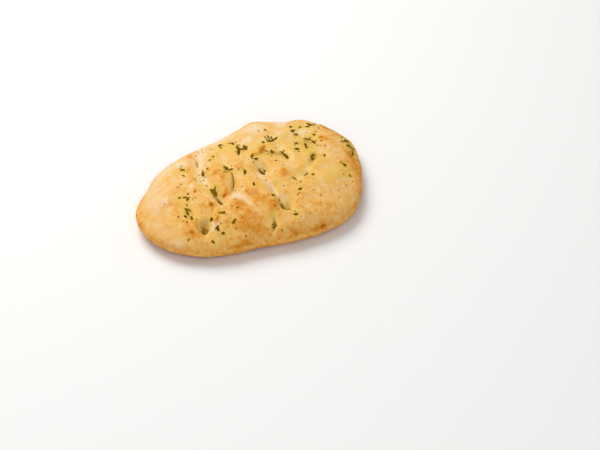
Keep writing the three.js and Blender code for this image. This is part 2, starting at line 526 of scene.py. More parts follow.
@dataclass(frozen=True)
class CrustFinish:
    """The baked crust: pale where it is stretched, golden on the flat, orange brown where it stands up.

    Attributes:
        pale: The colour of the valleys and of the floury patches.
        golden: The colour of most of the crust.
        orange: The colour of the mounds.
        brown: The colour of the scorched spots.
        glaze: The colour where herb butter was brushed on thinly.
        butter: The colour where herb butter pooled in a dimple or a crease, which also paints the shade deep
            in the hollows and creases.
        grain_height: The height of the fine grain, in mm.
    """

    pale: tuple = colour(0.82, 0.62, 0.37)
    golden: tuple = colour(0.80, 0.455, 0.125)
    orange: tuple = colour(0.70, 0.275, 0.030)
    brown: tuple = colour(0.36, 0.115, 0.002)
    glaze: tuple = colour(0.80, 0.535, 0.105)
    # the dark butter colour is also the painted shade in the deep hollows and creases
    butter: tuple = colour(0.27, 0.135, 0.001)
    grain_height: float = 0.3

    def material(self) -> bpy.types.Material:
        """Builds the material, which reads the paint on the crust and Object coordinates.

        Returns:
            The material.
        """
        material = bpy.data.materials.new("baked_crust")
        material.use_nodes = True
        tree = material.node_tree
        tree.nodes.clear()
        nodes = Nodes(tree)
        place = nodes.add("ShaderNodeTexCoord").outputs["Object"]
        paint = {p: nodes.add("ShaderNodeAttribute", {"attribute_name": p.value}).outputs["Fac"]
                 for p in Paint if p is not Paint.HERB}

        mottle = nodes.noise(place, 95.0, 4.0, 0.62, 0.4)
        patches = nodes.noise(place, 300.0, 3.0, 0.6)
        freckles = nodes.noise(place, 800.0, 2.0, 0.5)
        wander = nodes.math("MULTIPLY_ADD", mottle, 0.75, -0.375)
        fine = nodes.math("MULTIPLY_ADD", patches, 0.85, -0.425)
        bake = nodes.math("ADD", nodes.math("ADD", paint[Paint.BAKE], wander), fine)
        ramp = nodes.add("ShaderNodeValToRGB", Fac=bake)
        ramp.color_ramp.interpolation = "EASE"
        stops = ramp.color_ramp.elements
        stops[0].position, stops[0].color = 0.0, self.pale
        stops[1].position, stops[1].color = 1.0, self.brown
        for position, shade in ((0.38, self.golden), (0.70, self.orange)):
            stop = stops.new(position)
            stop.color = shade

        pale_share = nodes.ramp(nodes.math("ADD", paint[Paint.PALE], fine), 0.15, 0.85)
        base = nodes.mix(pale_share, ramp.outputs["Color"], self.pale)
        grain = nodes.add("ShaderNodeGroup", {"node_tree": Effects.grain()}, Place=place, Frequency=1400.0,
                          Coarseness=0.62)
        base = nodes.mix(nodes.math("MULTIPLY", grain.outputs["Flecks"], 0.14), base, self.golden)
        # the butter paint gives the thin glaze where it is low; where it runs high, the dark butter colour
        # is pooled butter and painted shade in the deep hollows and creases
        butter = nodes.math("MULTIPLY_ADD", fine, 0.4, paint[Paint.BUTTER_AND_SHADE])
        base = nodes.mix(nodes.ramp(butter, 0.02, 0.4, 0.0, 0.6), base, self.glaze)
        base = nodes.mix(nodes.ramp(butter, 0.3, 1.1, 0.0, 1.0), base, self.butter)
        dark = nodes.math("MULTIPLY", nodes.ramp(freckles, 0.62, 0.78), 0.35)
        base = nodes.mix(dark, base, self.orange, "MULTIPLY")

        oil = nodes.ramp(nodes.noise(place, 60.0, 3.0), 0.35, 0.7, 0.52, 0.74)
        rough = nodes.math("MULTIPLY_ADD", paint[Paint.BUTTER_AND_SHADE], -0.18, oil)
        height = nodes.math("MULTIPLY_ADD", patches, 0.7, grain.outputs["Height"])
        bump = nodes.add("ShaderNodeBump", Height=height, Distance=self.grain_height * MM, Strength=1.0)
        shader = nodes.add("ShaderNodeBsdfPrincipled", Base_Color=base, Roughness=rough,
                           Normal=bump.outputs[0])
        shader.inputs["Specular IOR Level"].default_value = 0.05
        shader.inputs["Subsurface Weight"].default_value = 0.12
        shader.inputs["Subsurface Radius"].default_value = (1.0, 0.45, 0.15)
        shader.inputs["Subsurface Scale"].default_value = 2.0 * MM
        output = nodes.add("ShaderNodeOutputMaterial")
        tree.links.new(shader.outputs[0], output.inputs["Surface"])
        return material


@dataclass(frozen=True)
class ParsleyFinish:
    """Dried, oven-darkened parsley.

    Attributes:
        name: The material's name.
        dark: The colour of most of a leaf.
        fresh: The colour of the parts that stayed green.
        toasted: The colour of the edges that browned.
    """

    name: str = "dried_parsley"
    dark: tuple = colour(0.125, 0.056, 0.001)
    fresh: tuple = colour(0.225, 0.140, 0.002)
    toasted: tuple = colour(0.165, 0.062, 0.001)

    def material(self) -> bpy.types.Material:
        """Builds the material, which reads Object coordinates.

        Returns:
            The material.
        """
        material = bpy.data.materials.new(self.name)
        material.use_nodes = True
        tree = material.node_tree
        tree.nodes.clear()
        nodes = Nodes(tree)
        place = nodes.add("ShaderNodeTexCoord").outputs["Object"]
        patch = nodes.noise(place, 130.0, 2.0)
        streak = nodes.noise(place, 700.0, 3.0, 0.6)
        base = nodes.mix(nodes.ramp(patch, 0.42, 0.66), self.dark, self.fresh)
        base = nodes.mix(nodes.ramp(streak, 0.5, 0.75, 0.0, 0.7), base, self.toasted)
        grain = nodes.add("ShaderNodeGroup", {"node_tree": Effects.grain()}, Place=place, Frequency=2600.0,
                          Coarseness=0.5)
        base = nodes.mix(nodes.math("MULTIPLY", grain.outputs["Flecks"], 0.25), base, self.fresh)
        rough = nodes.ramp(streak, 0.3, 0.7, 0.45, 0.75)
        bump = nodes.add("ShaderNodeBump", Height=grain.outputs["Height"], Distance=0.1 * MM, Strength=1.0)
        shader = nodes.add("ShaderNodeBsdfPrincipled", Base_Color=base, Roughness=rough,
                           Normal=bump.outputs[0])
        shader.inputs["Specular IOR Level"].default_value = 0.02
        output = nodes.add("ShaderNodeOutputMaterial")
        tree.links.new(shader.outputs[0], output.inputs["Surface"])
        return material


# ------------------------------------------------------------------------------------------- the crust


@dataclass
class Relief:
    """Geometry Nodes that give the whole crust its undulation, blisters and pits.

    Attributes:
        swell: The height of the slow undulation, in mm.
        swell_size: The length of the undulation, in mm.
        lumps: The height of the small lumps, in mm.
        lump_size: The length of the lumps, in mm.
        blisters: The height of the blisters, in mm.
        blister_size: The spacing of the blisters, in mm.
        pits: The depth of the pits, in mm.
        pit_size: The spacing of the pits, in mm.
        seed: Picks the pattern.
    """

    swell: float = 1.2
    swell_size: float = 15.0
    lumps: float = 0.5
    lump_size: float = 5.5
    blisters: float = 0.5
    blister_size: float = 6.5
    pits: float = 0.45
    pit_size: float = 3.6
    seed: int = 7

    def tree(self) -> tuple[bpy.types.GeometryNodeTree, dict[str, float]]:
        """Builds the node tree.

        Returns:
            The tree, and the value for each of its named inputs.
        """
        tree = bpy.data.node_groups.new("crust_relief", "GeometryNodeTree")
        face = tree.interface
        face.new_socket("Geometry", in_out="INPUT", socket_type="NodeSocketGeometry")
        values = {"Swell": self.swell * MM, "Swell Scale": 1 / (self.swell_size * MM),
                  "Lumps": self.lumps * MM, "Lump Scale": 1 / (self.lump_size * MM),
                  "Blisters": self.blisters * MM, "Blister Scale": 1 / (self.blister_size * MM),
                  "Pits": self.pits * MM, "Pit Scale": 1 / (self.pit_size * MM), "Seed": float(self.seed)}
        for name in values:
            face.new_socket(name, in_out="INPUT", socket_type="NodeSocketFloat")
        face.new_socket("Crust", in_out="INPUT", socket_type="NodeSocketMaterial")
        face.new_socket("Geometry", in_out="OUTPUT", socket_type="NodeSocketGeometry")
        nodes = Nodes(tree)
        given = nodes.add("NodeGroupInput").outputs
        place = nodes.add("GeometryNodeInputPosition").outputs[0]

        def centred(scale: bpy.types.NodeSocket, offset: float, detail: float) -> bpy.types.NodeSocket:
            """A noise pattern about 0, read at the vertex's place.

            Args:
                scale: How many of its features there are in a metre.
                offset: What is added to the seed, so that patterns differ.
                detail: How many finer layers it has.

            Returns:
                Its value, from -1 to 1.
            """
            seed = nodes.math("ADD", given["Seed"], offset)
            value = nodes.add("ShaderNodeTexNoise", {"noise_dimensions": "4D"}, Vector=place, W=seed,
                              Scale=scale, Detail=detail).outputs[0]
            return nodes.math("MULTIPLY_ADD", value, 2.0, -1.0)

        def spots(scale: bpy.types.NodeSocket, offset: float, share: float) -> bpy.types.NodeSocket:
            """Round spots in some of the cells of a random pattern.

            Args:
                scale: How many cells there are in a metre.
                offset: What is added to the seed, so that patterns differ.
                share: The share of the cells that have a spot.

            Returns:
                Up to 1 in the middle of a spot, and 0 outside it.
            """
            seed = nodes.math("ADD", given["Seed"], offset)
            cells = nodes.add("ShaderNodeTexVoronoi", {"voronoi_dimensions": "4D"}, Vector=place, W=seed,
                              Scale=scale)
            dome = nodes.ramp(cells.outputs["Distance"], 0.5, 0.08)
            chosen = nodes.add("FunctionNodeSeparateColor", Color=cells.outputs["Color"]).outputs[0]
            return nodes.math("MULTIPLY", dome, nodes.ramp(chosen, 1 - share, 1.0))

        height = nodes.math("MULTIPLY", centred(given["Swell Scale"], 0.0, 1.0), given["Swell"])
        height = nodes.math("MULTIPLY_ADD", centred(given["Lump Scale"], 3.1, 2.0), given["Lumps"], height)
        domes = spots(given["Blister Scale"], 5.3, 0.5)
        height = nodes.math("MULTIPLY_ADD", domes, given["Blisters"], height)
        dents = nodes.math("MULTIPLY", spots(given["Pit Scale"], 9.7, 0.3), given["Pits"])
        height = nodes.math("SUBTRACT", height, dents)
        normal = nodes.add("GeometryNodeInputNormal").outputs[0]
        loose = nodes.add("GeometryNodeInputNamedAttribute", Name="loose").outputs[0]
        height = nodes.math("MULTIPLY", height, loose)
        offset = nodes.add("ShaderNodeVectorMath", {"operation": "SCALE"})
        nodes.feed(offset.inputs[0], normal)
        nodes.feed(offset.inputs["Scale"], height)
        moved = nodes.add("GeometryNodeSetPosition", Geometry=given["Geometry"], Offset=offset.outputs[0])
        real = nodes.add("GeometryNodeRealizeInstances", Geometry=moved.outputs[0])
        dressed = nodes.add("GeometryNodeSetMaterial", Geometry=real.outputs[0], Material=given["Crust"])
        result = nodes.add("NodeGroupOutput")
        nodes.feed(result.inputs["Geometry"], dressed.outputs[0])
        return tree, values


def run_nodes(piece: bpy.types.Object, tree: bpy.types.GeometryNodeTree, values: dict[str, object]) -> None:
    """Runs a Geometry Nodes tree on a piece and keeps the result as the piece's plain mesh.

    Args:
        piece: The piece that carries the tree.
        tree: The tree.
        values: The value for each of the tree's named inputs.
    """
    modifier = piece.modifiers.new(tree.name, "NODES")
    modifier.node_group = tree
    for item in tree.interface.items_tree:
        if item.item_type == "SOCKET" and item.in_out == "INPUT" and item.name in values:
            modifier[item.identifier] = values[item.name]
    settle(piece)


@dataclass
class Bread:
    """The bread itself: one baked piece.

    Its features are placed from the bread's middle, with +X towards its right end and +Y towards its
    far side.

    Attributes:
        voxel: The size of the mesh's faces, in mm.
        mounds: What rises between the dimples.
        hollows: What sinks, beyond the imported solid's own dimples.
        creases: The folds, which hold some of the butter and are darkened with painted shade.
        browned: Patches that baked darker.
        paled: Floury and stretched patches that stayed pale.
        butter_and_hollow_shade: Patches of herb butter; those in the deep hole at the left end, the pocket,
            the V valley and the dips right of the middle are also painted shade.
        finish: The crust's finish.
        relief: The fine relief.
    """

    voxel: float = 0.8
    mounds: tuple[Oval, ...] = (
        Oval(-59, -34, 1.4, 8, 2.2, 32),
        Oval(-35, -15, 1.0, 6, 3, 20),
        Oval(-19, -32, 0.8, 14, 2.2, 96),
        Oval(-32, -8, 0.8, 4, 3.5, 0),
        Oval(-51, -15, 0.7, 5, 4, 0),
        Oval(-51, 8, 0.6, 4, 3, 90),
        Oval(-5, 16, 0.8, 9, 5, 70),
        Oval(-13, -22, 0.8, 8, 5, 80),
        Oval(-7, -47, 1.0, 8, 5, 70),
        Oval(19, 10, 0.9, 9, 5, 75),
        Oval(23, -14, 0.9, 9, 6, 60),
        Oval(25, 24, 0.8, 7, 4, 25),
        Oval(45, 4, 0.8, 9, 4, 80),
        Oval(51, 28, 0.9, 9, 6, 40),
        Oval(21, 44, 0.9, 9, 6, 20),
        Oval(85, 10, 0.8, 10, 6, 80),
        Oval(61, -34, 0.8, 12, 8, 20),
        Oval(17, -52, 1.0, 10, 6, 25),
        Oval(-71, 20, 0.8, 10, 7, 80),
    )
    hollows: tuple[Oval, ...] = (
        Oval(-69.6, -29.5, -2.6, 6, 2.6, 88, 1.8),
        Oval(-66.5, -29, -2.6, 7, 2.6, 56, 1.8),
        Oval(-40, -9, -1.2, 9, 3, 85, 1.8),
        Oval(5, -46, -1.3, 6, 4, 70, 1.6),
        Oval(-13, -56, -0.6, 7, 3, 55, 1.4),
        Oval(13, 2, -1.2, 7, 2.5, 82),
        Oval(39, 20, -0.9, 8, 4, 60),
        Oval(-9, 32, -0.9, 10, 4, 60),
        Oval(5.5, -27, -1.6, 6, 3, 75, 1.6),
        Oval(34, -26, -0.9, 7, 4, 10),
        Oval(-83, 4, -0.7, 10, 4, 80),
        Oval(47, -18, -1.3, 12, 4, 38),
    )
    creases: tuple[Stroke, ...] = (
        Stroke(((-28, 50), (-32, 42), (-35, 35)), -2.4, 1.1),
        Stroke(((-42.5, 30), (-44, 24), (-44.5, 18)), -2.2, 1.1),
        Stroke(((-14, 12), (-17, 4), (-21, -3), (-27, -11)), -3.0, 1.15),
        Stroke(((-39, -7), (-41, -13), (-43, -19)), -2.2, 1.2),
        Stroke(((11, 7), (10, 2), (10, -5)), -1.6, 1.2),
        Stroke(((3, -40), (2, -45), (2, -50), (7, -51)), -2.2, 1.2),
        Stroke(((-7, -48), (-11, -54), (-16, -61), (-20, -66)), -1.0, 1.6),
    )
    browned: tuple[Oval, ...] = (
        Oval(15.5, 20, 0.85, 3, 1.6, 150),
        Oval(20.5, 18.5, 0.55, 5, 2.4, 10),
        Oval(25, 22, 0.75, 5, 3, 40),
        Oval(-30, 60, 0.30, 8, 4, 75),
        Oval(-78, -31, 0.30, 5, 2.6, 80),
        Oval(-34, -9, 0.50, 3.4, 2.8, 0),
        Oval(-51.5, -17.5, 0.42, 3.6, 2.6, 60),
        Oval(-56.7, -9.7, 0.55, 1.5, 1.2, 0),
        Oval(-32, -28, 0.34, 10, 7, 95),
        Oval(-36, -44, 0.12, 12, 7, 95),
        Oval(-16, -29, 0.24, 9, 5, 80),
        Oval(-20, -60, 0.22, 10, 4, 160),
        Oval(-62, -11, 0.17, 8, 7, 0),
        Oval(-32, -48, 0.15, 18, 8, -20),
        Oval(46, -22, 0.12, 12, 4, 38),
        Oval(-80, -30, 0.22, 5, 3, 115),
        Oval(-48, -40, 0.16, 7, 5, 0),
        Oval(-43, -58, 0.20, 14, 4, 160),
        Oval(-51, -28, 0.26, 10, 5, 10),
        Oval(-53.5, 6.5, 0.35, 3.2, 2, 80),
        Oval(-52, 8.5, 0.7, 1.5, 1.0, 75),
        Oval(-26.5, 7, 0.32, 5, 2.2, 65),
        Oval(-30, 27, 0.30, 4, 3.5, 0),
        Oval(-17, -19.5, 0.40, 2.4, 2, 0),
        Oval(-5, -15, 0.22, 5, 2.4, 60),
        Oval(-9, -30, 0.18, 8, 5, 70),
        Oval(-7, -46, 0.24, 10, 7, 60),
        Oval(-6, -47, 0.30, 1.6, 1.4, 0),
        Oval(19, -49, 0.13, 10, 7, 30),
        Oval(22, -16, 0.20, 4, 2, 70),
        Oval(80, 14, 0.30, 6, 4, 0),
        Oval(98, 32, 0.34, 7, 4, 60),
        Oval(94, -16, 0.50, 7, 2.5, 55),
        Oval(79, -26, 0.30, 4, 3, 0),
        Oval(31, -70, 0.18, 13, 5, 10),
        Oval(-1, -71, 0.20, 14, 4, 165),
        Oval(21, -77, 0.30, 10, 3, 0),
        Oval(91, -24, 0.32, 24, 8, 60),
        Oval(101, 14, 0.24, 20, 8, 95),
        Oval(-82, 9, 0.26, 4, 3, 0),
        Oval(-75, 29, 0.22, 3, 3, 0),
        Oval(-83, -2, 0.16, 5, 3, 0),
        Oval(9, -8, 0.18, 4, 3, 0),
        Oval(61, 2, 0.14, 8, 6, 0),
        Oval(-75, -9, 0.12, 18, 9, 80),
        Oval(-95, -15, 0.14, 10, 7, 90),
        Oval(-22, 19, 0.14, 10, 6, 75),
        Oval(-16, 25, 0.20, 4, 3, 80),
        Oval(29, -59, 0.16, 8, 6, 0),
        Oval(81, 9, 0.14, 6, 5, 0),
    )
    paled: tuple[Oval | Stroke, ...] = (
        Stroke(((-11, 72), (-19, 58), (-29, 44), (-36, 31), (-41, 18), (-41, 4)), 0.85, 5.0),
        Stroke(((-39, -16), (-29, -17), (-23, -24), (-21, -40)), 0.5, 3.0),
        Stroke(((5, 6), (5, -6), (5, -17), (3, -28), (5, -40)), 0.6, 2.6),
        Oval(10, -2, 0.50, 6, 4, 70),
        Stroke(((-46.5, 6), (-47, -7), (-45.5, -22)), 0.55, 2.2),
        Stroke(((-67, -38), (-63, -33), (-59, -28)), 0.9, 2.2),
        Oval(-60, -36, 0.5, 7, 3.5, 20),
        Oval(-85, 24, 0.47, 34, 13, 68),
        Stroke(((6, -9), (12, -2), (18, 5)), 0.45, 3.5),
        Oval(-46, -24, 0.4, 4, 4, 0),
        Oval(6, -54, 0.35, 6, 5, 30),
        Oval(-13, -22, 0.35, 3, 5, 0),
        Oval(67, 25, 0.35, 12, 5, -65),
        Oval(-64, 6, 0.35, 4, 7, 0),
        Oval(-46, 48, 0.45, 4, 6, 0),
        Oval(-93, -20, 0.30, 18, 8, 110),
        Oval(-57, 54, 0.55, 20, 8, 30),
        Oval(-41, 50, 0.50, 11, 7, 50),
        Oval(-69, 25, 0.35, 6, 4, 0),
        Oval(71, 30, 0.85, 8, 6, 20),
        Oval(33, -24, 0.60, 6, 3.5, 0),
        Oval(70, -2, 0.55, 8, 5, 80),
        Oval(43, 4, 0.60, 9, 4.5, 60),
        Oval(41, 34, 0.40, 18, 4, 10),
        Oval(-29, -15, 0.50, 6, 3.5, 20),
        Oval(21, 64, 0.40, 40, 9, 0),
        Oval(37, 56, 0.45, 10, 8, 60),
        Oval(65, 54, 0.70, 12, 8, 60),
        Oval(1, 60, 0.40, 14, 6, 20),
        Oval(19, 43, 0.50, 7, 5, 20),
        Oval(56, 23, 0.35, 6, 4, 50),
        Oval(41, -58, 0.30, 12, 5, 20),
        Oval(-79, 13, 0.40, 6, 4, 0),
        Oval(30, 46, 0.32, 34, 12, 5),
        Oval(52, 28, 0.36, 13, 7, 10),
        Oval(41, 5, 0.35, 7, 4, 80),
        Oval(-9, 18, 0.35, 8, 3.5, 80),
        Oval(-30, -24, 0.30, 5, 4, 0),
        Oval(61, -33, 0.36, 9, 6, 20),
        Oval(-95, -31, 0.40, 8, 4, 120),
        Oval(36, -76, 0.40, 10, 3, 0),
        Oval(15, -67, 0.30, 5, 3, 0),
        Oval(-20, 46, 0.35, 9, 4, 75),
    )
    # patches of herb butter; the ovals in the deep hole at the left end, the pocket near (-42, -8), the V
    # valley near the front and the dips right of the middle are also painted shade
    butter_and_hollow_shade: tuple[Oval | Stroke, ...] = (
        Oval(-68.5, -31, 1.25, 6, 3.2, 70),
        Oval(-12, -52, 0.28, 9, 4, 35),
        Oval(11, -20, 0.3, 4, 6, -10),
        Oval(-66, -25.5, 0.55, 9, 4.5, 66),
        Oval(-70.3, -35, 1.4, 2.4, 1.6, 60),
        Oval(-42, -8, 0.80, 8, 3, 86),
        Oval(-15.5, -59.5, 0.26, 6, 3.2, 60),
        Oval(-35, 2, 0.26, 10, 4, 75),
        Oval(8.5, -46, 0.55, 9, 5.5, 65),
        Oval(8, -24, 0.30, 8, 4, 70),
        Stroke(((35, -26), (47, -18), (57, -9), (67, 0)), 0.48, 4.5),
        Stroke(((13, 18), (23, 15), (33, 10), (37, 2)), 0.30, 3.5),
        Oval(-18, 16, 0.45, 9, 3, 85),
        Oval(12, 1, 0.35, 6, 3, 80),
        Oval(-69, -6, 0.30, 14, 7, 85),
        Oval(49, 14, 0.26, 36, 22, 30),
        Oval(67, 15, 0.20, 8, 6, 0),
        Oval(63, -36, 0.30, 22, 10, 15),
        Oval(101, -2, 0.35, 10, 6, 80),
        Oval(-9, 43, 0.20, 24, 16, 40),
        Oval(7, 30, 0.25, 10, 8, 60),
        Oval(22, 36, 0.20, 12, 9, 60),
        Oval(-44, 9, 0.22, 11, 4, 85),
        Oval(35, -33, 0.20, 9, 6, 0),
        Oval(66, -8, 0.18, 14, 7, 80),
    )
    finish: CrustFinish = CrustFinish()
    relief: Relief = field(default_factory=Relief)

    RIM = 11.5  # the height at which the bread is widest, in mm
    BAKE_BASE = 0.32  # the bake of the flat of the crust
    BUMP_ROUNDS = 25  # the rounds of blur that a small bump stands out from
    BUMP_BAKE = 0.34  # how much a small bump adds, per mm
    MOUND_ROUNDS = 160  # the rounds of blur that a wide mound stands out from
    MOUND_BAKE = 0.13  # how much a wide mound adds, per mm
    # the steep side darkens towards the table: partly browning, partly painted shade near the table
    LOW_SIDE_BAKE_AND_SHADE = 0.22  # what the steep side adds towards the table
    UNDER_BAKE = 0.16  # what the underside adds
    UNDER_PATCHES = 0.20  # how much that varies
    LEAF_SPREAD = 4.0  # how far butter spreads round a leaf, in mm
    LEAF_BUTTER = 0.3  # the butter beneath a leaf
    CREASE_BUTTER_AND_SHADE = 0.36  # the butter that a crease holds, with painted shade, per mm of its depth
    FOOT_HOLLOW = 0.8  # the depth of the hollows in the underside, in mm

    def remeshed(self) -> bpy.types.Object:
        """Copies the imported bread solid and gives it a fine, even, smooth mesh.

        Returns:
            The piece, with no material yet.
        """
        piece = link("naan_crust", merged_copy(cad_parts[BREAD_NODE], "naan_crust"))
        rounding = piece.modifiers.new("rounding", "SUBSURF")
        rounding.levels = rounding.render_levels = 1
        even = piece.modifiers.new("even", "REMESH")
        even.mode = "VOXEL"
        even.voxel_size = self.voxel * MM
        soften = piece.modifiers.new("soften", "SMOOTH")
        soften.factor = 0.5
        soften.iterations = 8
        settle(piece)
        return piece

    def shape(self, mesh: bpy.types.Mesh) -> None:
        """Works the listed mounds, hollows and creases into the top of the crust.

        Args:
            mesh: The crust's mesh.
        """
        points = coordinates(mesh) / MM
        top = smoothstep(0.05, 0.45, vertex_normals(mesh)[:, 2])
        xy = points[:, :2]
        rise = np.zeros(len(points))
        for feature in (*self.mounds, *self.hollows, *self.creases):
            rise += feature.on(xy)
        points[:, 2] += top * rise
        set_coordinates(mesh, points * MM)

    def paint(self, mesh: bpy.types.Mesh) -> None:
        """Paints how the crust baked, where it is pale, where butter and herbs lie, and the painted shade in
        the deep hollows, the creases and low on the side.

        Args:
            mesh: The crust's mesh, in its final shape.
        """
        points = coordinates(mesh) / MM
        normals = vertex_normals(mesh)
        xy = points[:, :2]
        top = smoothstep(-0.1, 0.5, normals[:, 2])
        bump = points[:, 2] - blurred(points[:, 2], mesh, self.BUMP_ROUNDS)
        mound = points[:, 2] - blurred(points[:, 2], mesh, self.MOUND_ROUNDS)
        spots = ragged(ragged(xy, 2.0, 7.0, 21), 0.8, 2.4, 23)

        standing = self.BUMP_BAKE * np.clip(bump, -0.5, 0.5) + self.MOUND_BAKE * np.clip(mound, -1.5, 1.5)
        bake = self.BAKE_BASE + top * standing
        bake += sum(oval.on(spots) for oval in self.browned) * top
        # the steep side darkens towards the table: partly browning, partly painted shade where it nears the
        # table
        low = smoothstep(self.RIM + 8, self.RIM - 4, points[:, 2])
        steep = 1 - smoothstep(0.5, 0.9, normals[:, 2])
        bake += self.LOW_SIDE_BAKE_AND_SHADE * (low * steep)
        under = smoothstep(-0.55, -0.9, normals[:, 2])
        patches = Grain(31, 17.0).at(xy) + 0.6 * Grain(33, 6.0).at(xy)
        bake += under * (self.UNDER_BAKE + self.UNDER_PATCHES * patches)

        pale = sum(patch.on(spots) for patch in self.paled) * top
        near_leaf = self.near_leaf(ragged(xy, 1.5, 3.0, 27))
        # herb butter, with painted shade in the deep hollows
        butter = sum(patch.on(spots) for patch in self.butter_and_hollow_shade) + self.LEAF_BUTTER * near_leaf
        # creases darken with the butter in them and with painted shade, the more the deeper they are
        butter -= self.CREASE_BUTTER_AND_SHADE * sum(crease.on(xy) for crease in self.creases)
        butter *= top

        # herbs lie thickest round the leaves, and thin out at the left end and down the sides
        herb = top * np.clip(0.28 + 0.2 * Grain(41, 22.0).at(xy) + 0.8 * near_leaf, 0.05, 1)
        herb *= 1 - 0.75 * smoothstep(-75, -100, xy[:, 0])
        herb *= 1 - 0.8 * smoothstep(26, 14, points[:, 2])
        layers = {Paint.BAKE: bake, Paint.PALE: pale, Paint.BUTTER_AND_SHADE: butter, Paint.HERB: herb}
        for kind, values in layers.items():
            layer = mesh.attributes.new(kind.value, "FLOAT", "POINT")
            layer.data.foreach_set("value", np.clip(values, 0, 1).astype(np.float32))

    def near_leaf(self, xy: np.ndarray) -> np.ndarray:
        """How near each point lies to a packed leaf.

        Args:
            xy: Points on the plane, in mm.

        Returns:
            For each point, 1 beneath a leaf and 0 well away from one.
        """
        nearest = np.full(len(xy), np.inf)
        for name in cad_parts:
            if name.startswith(LEAF_PREFIX):
                low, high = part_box(name)
                low, high = np.array(low[:2]) / MM, np.array(high[:2]) / MM
                gap = np.maximum(np.abs(xy - (low + high) / 2) - (high - low) / 4, 0)
                nearest = np.minimum(nearest, np.hypot(gap[:, 0], gap[:, 1]))
        return np.exp(-((nearest / self.LEAF_SPREAD) ** 2))

    def loosen(self, mesh: bpy.types.Mesh) -> None:
        """Says how much of the fine relief each place takes: little where the bread rests.

        Args:
            mesh: The crust's mesh, which gets the attribute "loose".
        """
        normals = vertex_normals(mesh)
        amount = 0.15 + 0.85 * smoothstep(-0.9, -0.3, normals[:, 2])
        layer = mesh.attributes.new("loose", "FLOAT", "POINT")
        layer.data.foreach_set("value", amount.astype(np.float32))

    def rest(self, mesh: bpy.types.Mesh) -> None:
        """Gives the underside shallow hollows, and lets nothing reach below the table.

        Args:
            mesh: The crust's mesh.
        """
        points = coordinates(mesh)
        flat = smoothstep(1.2, 0.2, points[:, 2] / MM)
        xy = points[:, :2] / MM
        hollow = np.clip(Grain(51, 13.0).at(xy) + 0.5 * Grain(53, 5.0).at(xy), 0, 1)
        points[:, 2] += flat * hollow * self.FOOT_HOLLOW * MM
        points[:, 2] = np.maximum(points[:, 2], 0)
        set_coordinates(mesh, points)

    def build(self) -> bpy.types.Object:
        """Builds and dresses the crust.

        Returns:
            The finished piece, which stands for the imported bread.
        """
        piece = self.remeshed()
        self.shape(piece.data)
        self.loosen(piece.data)
        tree, values = self.relief.tree()
        values["Crust"] = self.finish.material()
        run_nodes(piece, tree, values)
        piece.data.attributes.remove(piece.data.attributes["loose"])
        self.rest(piece.data)
        self.paint(piece.data)
        shade_smooth(piece.data)
        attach(piece, BODY)
        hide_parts(BREAD_NODE)
        return piece


# ------------------------------------------------------------------------------------------ the parsley


@dataclass
class Surface:
    """A surface that things are laid on, read from above.

    Attributes:
        tree: The surface's faces, for rays to hit.
    """

    tree: BVHTree

    SKY = 1.0  # the height from which it is read, in metres

    @classmethod
    def of(cls, mesh: bpy.types.Mesh) -> "Surface":
        """Makes the surface of a mesh.

        Args:
            mesh: The mesh.

        Returns:
            Its surface.
        """
        work = bmesh.new()
        work.from_mesh(mesh)
        tree = BVHTree.FromBMesh(work)
        work.free()
        return cls(tree)

    def height(self, x: float, y: float) -> float | None:
        """The height of the surface at a place, in metres, or None beside it."""
        hit = self.tree.ray_cast(Vector((x, y, self.SKY)), Vector((0, 0, -1)))[0]
        return None if hit is None else hit.z


@dataclass
class Parsley:
    """The chopped leaves that lie on the crust, one piece for each packed leaf.

    Attributes:
        raggedness: How far a leaf's edge strays, in mm.
        curl: How far a leaf lifts or sinks about the crust, in mm.
        sink: How far it is lowered from its packed place, which is clear of the crust, in mm.
        finish: The leaves' finish.
    """

    raggedness: float = 0.6
    curl: float = 0.35
    sink: float = 0.42
    finish: ParsleyFinish = ParsleyFinish()

    def leaf(self, node: str, under: Surface, over: Surface,
             material: bpy.types.Material) -> bpy.types.Object:
        """Makes one leaf.

        Args:
            node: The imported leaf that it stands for.
            under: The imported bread, on which that leaf lies.
            over: The finished crust, on which the new leaf lies.
            material: The leaf's material.

        Returns:
            The finished leaf.
        """
        piece = link(node + "_leaf", merged_copy(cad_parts[node], node + "_leaf"))
        for kind in ("SIMPLE", "CATMULL_CLARK"):
            fine = piece.modifiers.new("fine", "SUBSURF")
            fine.subdivision_type = kind
            fine.levels = fine.render_levels = 1
        settle(piece)
        points = coordinates(piece.data)
        xy = points[:, :2] / MM
        crust = np.array([over.height(x, y) or 0.0 for x, y, _ in points])
        packed_crust = np.array([under.height(x, y) or 0.0 for x, y, _ in points])
        lift = points[:, 2] - packed_crust - self.sink * MM
        curl = self.curl * MM * Grain(61, 3.0).at(xy)
        stray = np.stack([Grain(63, 1.1).at(xy), Grain(65, 1.1).at(xy)], axis=1)
        points[:, :2] += MM * self.raggedness * stray
        points[:, 2] = crust + lift + curl
        set_coordinates(piece.data, points)
        piece.data.materials.append(material)
        shade_smooth(piece.data)
        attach(piece, BODY)
        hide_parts(node)
        return piece

    def build(self, crust: bpy.types.Object) -> list[bpy.types.Object]:
        """Makes every leaf.

        Args:
            crust: The finished crust.

        Returns:
            The leaves, in the order of their names.
        """
        material = self.finish.material()
        under = Surface.of(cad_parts[BREAD_NODE].data)
        over = Surface.of(crust.data)
        names = sorted(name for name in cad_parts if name.startswith(LEAF_PREFIX))
        return [self.leaf(name, under, over, material) for name in names]


